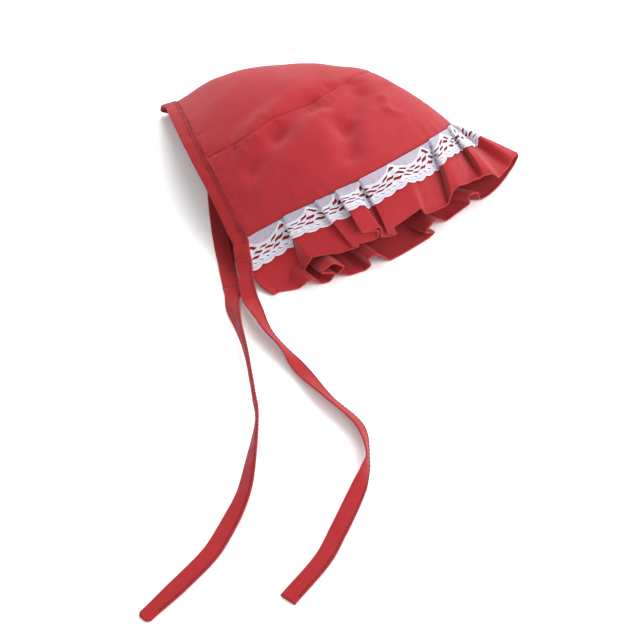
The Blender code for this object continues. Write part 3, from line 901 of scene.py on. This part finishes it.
def fold_columns(count):
    """Evenly spaced columns on the folded free edge: their marks, places along the plain
    edge and rise over it, places on the seam, and how far the folds shift and push them."""
    total = section_end(FRONT_TURN)
    corners = [(0, RUFFLE_START_RISE)]
    roots = {0: 0}
    for row in FOLDS:
        fold = dict(zip(FOLD_COLUMNS, row))
        roots[len(corners)] = fold["root"] - FOLD_SPREAD
        roots[len(corners) + 1] = fold["root"] + FOLD_SPREAD
        for place in ("under", "start", "end", "foot"):
            if place in fold:
                corners.append((fold[place], fold[place + "_rise"]))
    roots[len(corners)] = total
    corners.append((total, 0))
    path, bends = rounded_corners(np.array(corners), FOLD_ROUND, FOLD_BEND_STEPS)
    marks = marks_of(path)
    anchor_marks = [marks[bends == k].mean() for k in roots]
    root = np.interp(marks, anchor_marks, list(roots.values()))
    shift = np.zeros(len(marks))
    push = np.zeros(len(marks))
    for k, row in enumerate(FOLDS):
        tuck = row[FOLD_COLUMNS.index("tuck")]
        under, start = anchor_marks[1 + 2 * k : 3 + 2 * k]
        below = np.interp(marks, (under - TUCK_REACH, under, start), (0, 1, 0))
        above = np.interp(marks, (under, start, start + TUCK_REACH), (0, 1, 0))
        shift += tuck * (TUCK_SHIFTS[0] * below - TUCK_SHIFTS[1] * above)
        push += TUCK_OVER * above - TUCK_UNDER * below
    at = np.linspace(0, marks[-1], count + 1)
    return at, *(np.interp(at, marks, field) for field in (*path.T, root, shift, push))


def ruffle_grid(count, levels):
    """Points of the ruffle's outer side for these shares of its depth."""
    marks, along, rise, root, shift, push = fold_columns(count)
    top = front_points(root)
    edge = plain_edge(along) + rise[:, None] * UP
    edge[:, 2] = np.maximum(edge[:, 2], RUFFLE_CLEAR)
    upper = 1 - ramp(*PUFFS_UP_TO, root / section_end(FRONT_TURN))
    outer = outer_directions(root)
    run = unit(front_points(root + 1) - front_points(root - 1))
    swing = ruffle_set("swing", root)[:, None] * np.array([*outward(FRONT_TURN), 0])
    swing -= ruffle_set("sag", root)[:, None] * UP
    bulge = ruffle_set("bulge", root)
    high, long, ends = RUFFLE_GATHER
    gathers = high * upper * ripple(root / long, 0, 81)
    high, long = RUFFLE_WAVE
    waves = high * upper * ripple(marks / long, 0, 83)
    rows = []
    for level in levels:
        near_seam = sin(pi * min(level * ends, 1)) * (1 - level)
        tucked = sin(pi * level) ** TUCK_CURVE if 0 < level < 1 else 0
        puff = bulge * sin(pi * level) + gathers * near_seam + waves * level
        row = top + (edge - top) * level + 4 * level * (1 - level) * swing
        row += (puff + push * tucked)[:, None] * outer + (shift * tucked)[:, None] * run
        held_up = 1 - ramp(LACE_DEPTH * LACE_PAST, 1, level)
        lift = RUFFLE_CLEAR + (SEAM_LIFT - RUFFLE_CLEAR) * held_up
        row[:, 2] = np.maximum(row[:, 2], lift)
        rows.append(row)
    return np.stack(rows, axis=1), marks


def ruffle(look, hem_look):
    """The gathered ruffle around the face opening, with a rolled hem on its free edge."""
    levels = np.linspace(0, 1, RUFFLE_ROWS + 1)
    grid, marks = ruffle_grid(RUFFLE_COLUMNS, levels)
    depth = size(grid[:, -1] - grid[:, 0]).mean()
    uv = np.stack(np.broadcast_arrays(marks[:, None], levels * depth), axis=-1)
    piece = cloth("ruffle_cloth", grid[:, ::-1], RUFFLE_CLOTH, look, uv[:, ::-1])
    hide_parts("ruffle")
    outs = -grid_normals(grid)[:, -1]
    line = grid[:, -1] - 0.5 * RUFFLE_CLOTH * outs
    line[:, 2] = np.maximum(line[:, 2], HEM_CLEAR)
    hem = tubes("ruffle_hem", [(line, outs)], HEM_RADIUS, hem_look, sides=8)


def lace_surface():
    """The lace's length, and what gives points and normals of its outer side, in mm."""
    levels = np.linspace(0, LACE_DEPTH * LACE_PAST, LACE_LEVELS)
    grid, _ = ruffle_grid(LACE_STEPS, levels)
    normals = -grid_normals(grid)
    marks = marks_of(grid[:, LACE_LEVELS // 2])
    grid += (LACE_OVER + LACE_CLOTH) * normals

    def sample(along, down):
        """Points and normals at distances along the lace and down it."""
        along, down = np.broadcast_arrays(along, down)
        i = np.interp(along, marks, np.arange(len(marks)))
        j = np.clip(down / LACE_WIDE / LACE_PAST, 0, 1) * (LACE_LEVELS - 1)
        i0 = np.clip(i.astype(int), 0, len(marks) - 2)
        j0 = np.clip(j.astype(int), 0, LACE_LEVELS - 2)
        fi = (i - i0)[..., None]
        fj = (j - j0)[..., None]

        def mix(field):
            low = field[i0, j0] * (1 - fi) + field[i0 + 1, j0] * fi
            high = field[i0, j0 + 1] * (1 - fi) + field[i0 + 1, j0 + 1] * fi
            return low * (1 - fj) + high * fj

        return mix(grid), unit(mix(normals))

    return marks[-1], sample


def moon_edge(along):
    """How far down the half moons of plain net reach."""
    return MOON_TOP + MOON_DEEP * np.abs(np.sin(pi * along / MOON_PITCH)) ** MOON_CURVE


def scallop_edge(along):
    lobe = np.abs(np.sin(pi * along / SCALLOP_PITCH)) ** SCALLOP_CURVE
    return LACE_WIDE + SCALLOP_DEEP * (lobe - 1)


def leaf_row(share, along):
    """The line that a row of leaves follows, between the moons and the edge band."""
    return moon_edge(along) + share * (LEAF_LOW - moon_edge(along))


def leaves(length):
    """Middle, half sizes and tilt of every leaf opening and of the slots below them."""
    out = []
    for share, first, long, fill, tilt in LEAVES:
        place = (LEAF_FIRST + first) * LEAF_PITCH
        while place < length - LEAF_LAST * LEAF_PITCH:
            shift, turn, stretch = (
                amount * noise.noise(Vector((LEAF_NOISE * place, share, 90 + k)))
                for k, amount in enumerate(LEAF_UNEVEN)
            )
            at = place + shift
            rise = leaf_row(share, at + 1.5) - leaf_row(share, at - 1.5)
            slope = atan(rise / 3) + radians(tilt + turn)
            room = (LEAF_LOW - moon_edge(at)) / len(LEAVES)
            half_wide = float(np.clip(0.5 * fill * room, *LEAF_HALF_WIDE))
            half_long = 0.5 * long * (1 + stretch)
            out.append((at, leaf_row(share, at), half_long, half_wide, slope))
            place += LEAF_PITCH
    at = SCALLOP_PITCH / 2
    while at < length - SLOT_LONG:
        out.append((at, SLOT_DOWN, SLOT_LONG / 2, SLOT_WIDE / 2, 0))
        at += SCALLOP_PITCH / 2
    return out


def leaf_outline(leaf, count=18):
    """Points of a pointed leaf around its middle, just outside its opening."""
    at, down, half_long, half_wide, tilt = leaf
    angle = np.arange(count) / count * 2 * pi
    x = (half_long + CORD_INSET) * np.cos(angle)
    y = (half_wide + CORD_INSET) * np.sin(angle) * (1 - LEAF_POINT * np.cos(angle) ** 2)
    y += LEAF_BEND * np.sin(pi * np.cos(angle))
    return at + x * cos(tilt) - y * sin(tilt), down + x * sin(tilt) + y * cos(tilt)


def cell_middles(grid):
    return 0.25 * (grid[1:, 1:] + grid[:-1, 1:] + grid[1:, :-1] + grid[:-1, :-1])


def lace(look, cord_look):
    """The lace trim: a net with leaf openings, cords around them and a scalloped edge."""
    length, sample = lace_surface()
    openings = leaves(length)
    along = np.linspace(0, length, int(length / LACE_CELL) + 1)[:, None]
    share = np.linspace(0, 1, int(LACE_WIDE / LACE_CELL) + 1)[None, :]
    down = share * (LACE_WIDE + (scallop_edge(along) - LACE_WIDE) * share**3)
    along = np.broadcast_to(along, down.shape)
    points, _ = sample(along, down)
    dense = ramp(*MOON_FADE, down - moon_edge(along))
    dense *= 1 - EDGE_BAND_THIN * ramp(LEAF_LOW, SLOT_DOWN + 1, down)
    dense = np.maximum(dense, ramp(*EDGE_DENSE, down - scallop_edge(along)))
    cell_along = cell_middles(along)
    cell_down = cell_middles(down)
    keep = np.ones(cell_along.shape, bool)
    for at, middle, half_long, half_wide, tilt in openings:
        x = cell_along - at
        y = cell_down - middle
        run = (x * cos(tilt) + y * sin(tilt)) / half_long
        share = np.clip(run, -1, 1)
        rise = y * cos(tilt) - x * sin(tilt) - LEAF_BEND * np.sin(pi * share)
        keep &= run**2 + (rise / (half_wide * (1 - LEAF_POINT * share**2))) ** 2 > 1
    uv = np.stack([along, down], axis=-1)
    piece = cloth("lace_net", points[:, ::-1], LACE_CLOTH, look, uv[:, ::-1], keep[:, ::-1])
    attribute = piece.data.attributes.new("dense", "FLOAT", "POINT")
    attribute.data.foreach_set("value", dense[:, ::-1].astype(np.float32).ravel())
    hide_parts("lace_trim")

    lines = [sample(*leaf_outline(leaf)) for leaf in openings]
    cords = tubes("lace_leaf_cords", lines, LEAF_CORD, cord_look, 5, True)
    at = np.linspace(0.2, length - 0.2, int(length / CORD_STEP))
    scallops = scallop_edge(at) - CORD_INSET
    moons = moon_edge(at) - CORD_INSET
    downs = (scallops, moons, moons - MOON_CORD_GAP, LEAF_LOW + CORD_INSET, SLOT_DOWN + SLOT_WIDE)
    lines = [sample(at, line_down) for line_down in downs]
    long_cords = tubes("lace_long_cords", lines, LONG_CORD, cord_look)


class Look:
    """A material and its slot, with short ways to add nodes."""

    def __init__(self, name, slot):
        self.slot = slot
        self.material = bpy.data.materials.new(name)
        self.material.use_nodes = True
        self.tree = self.material.node_tree
        self.shader = self.tree.nodes["Principled BSDF"].inputs

    def feed(self, inputs, values):
        """Sets inputs to numbers, colours or vectors, or links outputs to them."""
        for key, value in values.items():
            socket = inputs[key]
            if isinstance(value, (int, float)):
                socket.default_value = value
            elif isinstance(value, tuple):
                socket.default_value = (*value, 1)[: len(socket.default_value)]
            else:
                self.tree.links.new(value, socket)

    def node(self, kind, output, values, **settings):
        """A new node with these settings and inputs, giving one of its outputs."""
        made = self.tree.nodes.new(kind)
        for key, value in settings.items():
            setattr(made, key, value)
        self.feed(made.inputs, values)
        return made.outputs[output]

    def show(self, values):
        self.feed(self.shader, values)

    def math(self, operation, *values):
        return self.node("ShaderNodeMath", 0, dict(enumerate(values)), operation=operation)

    def mix(self, share, a, b):
        return self.node("ShaderNodeMix", 2, {0: share, 6: a, 7: b}, data_type="RGBA")

    def weave(self):
        return self.node("ShaderNodeUVMap", "UV", {}, uv_map="weave")

    def noise(self, vector, scale, detail=2):
        values = {"Vector": vector, "Scale": scale, "Detail": detail}
        return self.node("ShaderNodeTexNoise", "Fac", values)

    def stretched_noise(self, vector, stretch):
        values = {"Vector": vector, "Scale": stretch}
        return self.noise(self.node("ShaderNodeMapping", "Vector", values), 1)

    def bump(self, height, strength, distance):
        values = {"Height": height, "Strength": strength, "Distance": distance}
        self.show({"Normal": self.node("ShaderNodeBump", "Normal", values)})


def cotton(name, slot, light, dark, sheen):
    """Plain woven cotton: crossing threads from the weave map, with painted shade in the gaps
    between them, slubs and soft mottling.
    """
    look = Look(name, slot)
    weave = look.weave()
    threads = []
    cells = []
    for axis in (0, 1):
        place = look.node("ShaderNodeSeparateXYZ", axis, {0: weave})
        place = look.math("DIVIDE", place, THREAD_PITCH)
        wave = look.math("SINE", look.math("MULTIPLY", place, pi))
        threads.append(look.math("ABSOLUTE", wave))
        cells.append(look.math("FLOOR", place))
    over = look.math("FLOORED_MODULO", look.math("ADD", *cells), 2)
    top = look.math("MULTIPLY", look.math("SUBTRACT", 1, over), threads[1])
    top = look.math("MULTIPLY_ADD", over, threads[0], top)
    slub = look.math("ADD", *(look.stretched_noise(weave, way) for way in SLUB_STRETCHES))
    mottle = look.noise(weave, 0.12, 3)
    # Painted shade: the colour is darker in the gaps between the crossing threads and lighter on
    # their crowns
    shade = look.math("MULTIPLY_ADD", top, PAINTED_WEAVE_SHADE, DARKER)
    shade = look.math("MULTIPLY_ADD", slub, SLUB_SHADE, shade)
    shade = look.math("MULTIPLY_ADD", mottle, MOTTLE_SHADE, shade)
    rough = look.math("MULTIPLY_ADD", mottle, 0.1, 0.78)
    look.show({"Base Color": look.mix(shade, dark, light), "Roughness": rough})
    look.show({"Sheen Weight": sheen, "Sheen Roughness": 0.45})
    look.show({"Sheen Tint": (1, 0.72, 0.74), "Specular IOR Level": 0.1})
    look.bump(look.math("MULTIPLY_ADD", slub, 0.6, top), 0.5, 0.00012)
    return look


def thread_look(name, slot, colour, rough):
    """Twisted sewing thread, slightly lighter along its strands."""
    look = Look(name, slot)
    strand = look.noise(look.node("ShaderNodeTexCoord", "Object", {}), 1900, 1)
    pale = tuple(min(1, channel * 1.25) for channel in colour)
    look.show({"Base Color": look.mix(strand, colour, pale)})
    look.show({"Roughness": rough, "Specular IOR Level": 0.3})
    look.bump(strand, 0.4, 0.00008)
    return look


def lace_look():
    """Net whose small holes show the red ruffle under it, solid where the lace is dense."""
    look = Look("lace_net", "white_lace")
    weave = look.weave()
    values = {"Scale": 2, "Randomness": 0.25, "Vector": weave}
    cell = look.node("ShaderNodeTexVoronoi", "Distance", values, feature="F1")
    dense = look.node("ShaderNodeAttribute", "Fac", {}, attribute_name="dense")
    hole = look.math("LESS_THAN", cell, 0.36)
    hole = look.math("MULTIPLY", hole, look.math("SUBTRACT", 1, dense))
    strand = look.stretched_noise(weave, (2.4, 5, 1))
    net = look.mix(strand, (0.36, 0.32, 0.41), (0.49, 0.46, 0.54))
    net = look.mix(hole, net, (0.22, 0.14, 0.19))
    white = look.mix(strand, (0.40, 0.39, 0.47), (0.56, 0.56, 0.63))
    look.show({"Base Color": look.mix(dense, net, white)})
    look.show({"Roughness": 0.65, "Sheen Weight": 0.15})
    look.bump(look.math("SUBTRACT", strand, look.math("MULTIPLY", hole, 1.5)), 0.7, 0.0002)
    return look


def studio():
    """The pale floor, the soft lights and the camera."""
    scene = bpy.context.scene
    bpy.ops.mesh.primitive_plane_add(size=8, location=(0, 0, 0))
    floor = bpy.context.object
    floor.name = "floor"
    look = Look("floor_white", None)
    look.show({"Base Color": (0.96, 0.96, 0.96), "Roughness": 0.9})
    floor.data.materials.append(look.material)
    scene.world = bpy.data.worlds.new("studio")
    scene.world.use_nodes = True
    background = scene.world.node_tree.nodes["Background"].inputs
    background["Color"].default_value = (1, 1, 1, 1)
    background["Strength"].default_value = 0.86
    scene.view_settings.view_transform = "Standard"
    for name, place, wide, power in (
        ("back_light", (0.1, 1.2, 1.2), 1.2, 32),
        ("key_light", (1.2, -0.4, 0.85), 1, 17),
        ("front_light", (0.3, -1.2, 0.6), 1, 3),
    ):
        data = bpy.data.lights.new(name, "AREA")
        data.size = wide
        data.energy = power
        lamp = bpy.data.objects.new(name, data)
        lamp.location = place
        lamp.rotation_euler = (-Vector(place)).to_track_quat("-Z", "Y").to_euler()
        scene.collection.objects.link(lamp)
    tilt = radians(ELEVATION)
    data = bpy.data.cameras.new("camera")
    data.sensor_width = 36
    data.lens = FOCAL_PIXELS / PICTURE_PIXELS * data.sensor_width
    camera = bpy.data.objects.new("camera", data)
    away = DISTANCE * np.array([0, -cos(tilt), sin(tilt)])
    camera.location = ((np.array(AIM) + away) * MM).tolist()
    camera.rotation_euler = (pi / 2 - tilt, 0, 0)
    scene.collection.objects.link(camera)
    scene.camera = camera


def main():
    studio()
    red = cotton("red_cotton", "red_cotton", (0.355, 0.024, 0.029), (0.23, 0.011, 0.014), 0.23)
    colours = (0.33, 0.021, 0.025), (0.21, 0.009, 0.012)
    binding = cotton("red_binding", "red_binding", *colours, 0.18)
    hem = cotton("red_hem", "red_cotton", (0.40, 0.034, 0.038), (0.27, 0.018, 0.021), 0.16)
    thread = thread_look("red_thread", "red_binding", (0.055, 0.003, 0.004), 0.6)
    cord = thread_look("white_cord", "white_lace", (0.54, 0.54, 0.59), 0.5)
    net = lace_look()
    tie("tie_right_strip", "tie_right", TIE_RIGHT, 0, TIE_RIGHT_WAVE, binding, thread)
    tie("tie_left_strip", "tie_left", TIE_LEFT, -1, TIE_LEFT_WAVE, binding, thread)
    crown_panels(red)
    neck_band(binding, thread)
    ruffle(red, hem)
    lace(net, cord)


main()
